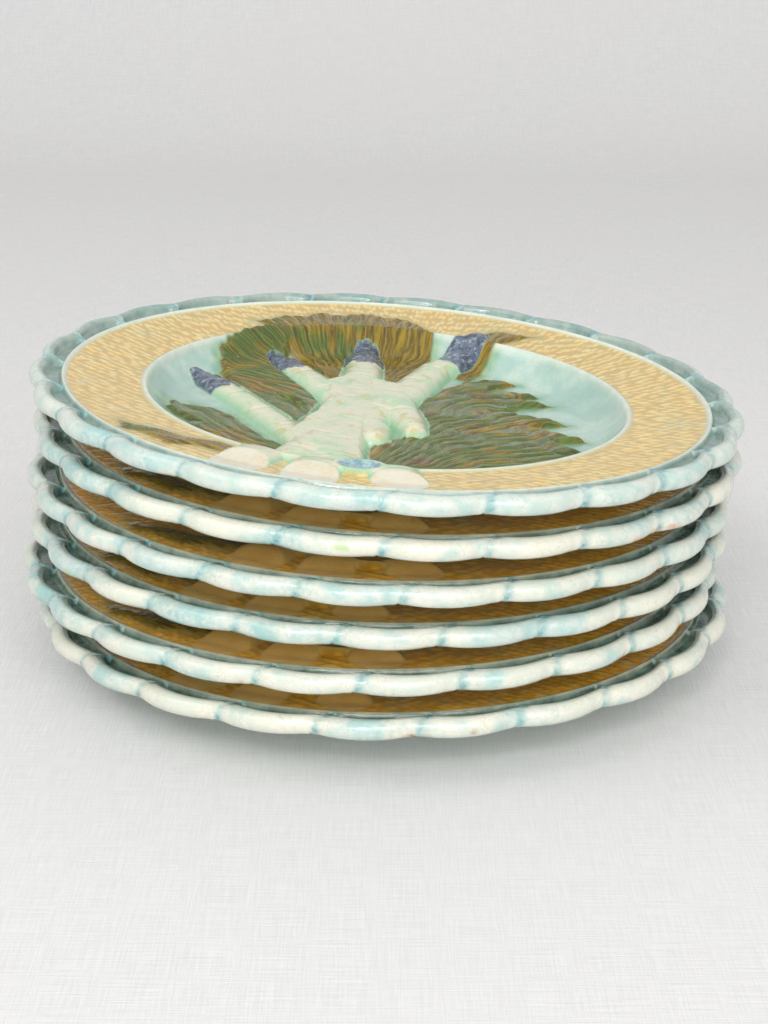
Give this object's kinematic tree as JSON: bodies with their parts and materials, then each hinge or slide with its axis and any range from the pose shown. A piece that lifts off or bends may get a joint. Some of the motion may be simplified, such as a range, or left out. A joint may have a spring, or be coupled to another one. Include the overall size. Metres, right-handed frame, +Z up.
{
  "type": "stack of asparagus plates",
  "caption": "Nested stack of round relief-moulded, glazed earthenware plates for asparagus, with spears and leaves in the well, a cane border and a scalloped rim.",
  "frame": {"origin": "centre of the stack's outline at the table, level with the underside of the bottom plate's foot ring", "axes": "+Z up, -Y towards the side where the spears' cut ends lie, +X to the right seen from there"},
  "size_m": [0.2445, 0.2429, 0.1056],
  "materials": {
    "glaze": "glossy"
  },
  "bodies": {
    "plate_1": {"plate_1": "glaze"},
    "plate_2": {"plate_2": "glaze"},
    "plate_3": {"plate_3": "glaze"},
    "plate_4": {"plate_4": "glaze"},
    "plate_5": {"plate_5": "glaze"},
    "plate_6": {"plate_6": "glaze"}
  },
  "joints": [
    {"name": "lift_2", "type": "slide", "parent": "plate_1", "child": "plate_2", "axis": [0, 0, 1], "range_m": [0, 0.06]},
    {"name": "lift_3", "type": "slide", "parent": "plate_2", "child": "plate_3", "axis": [0, 0, 1], "range_m": [0, 0.06]},
    {"name": "lift_4", "type": "slide", "parent": "plate_3", "child": "plate_4", "axis": [0, 0, 1], "range_m": [0, 0.06]},
    {"name": "lift_5", "type": "slide", "parent": "plate_4", "child": "plate_5", "axis": [0, 0, 1], "range_m": [0, 0.06]},
    {"name": "lift_6", "type": "slide", "parent": "plate_5", "child": "plate_6", "axis": [0, 0, 1], "range_m": [0, 0.06]}
  ]
}
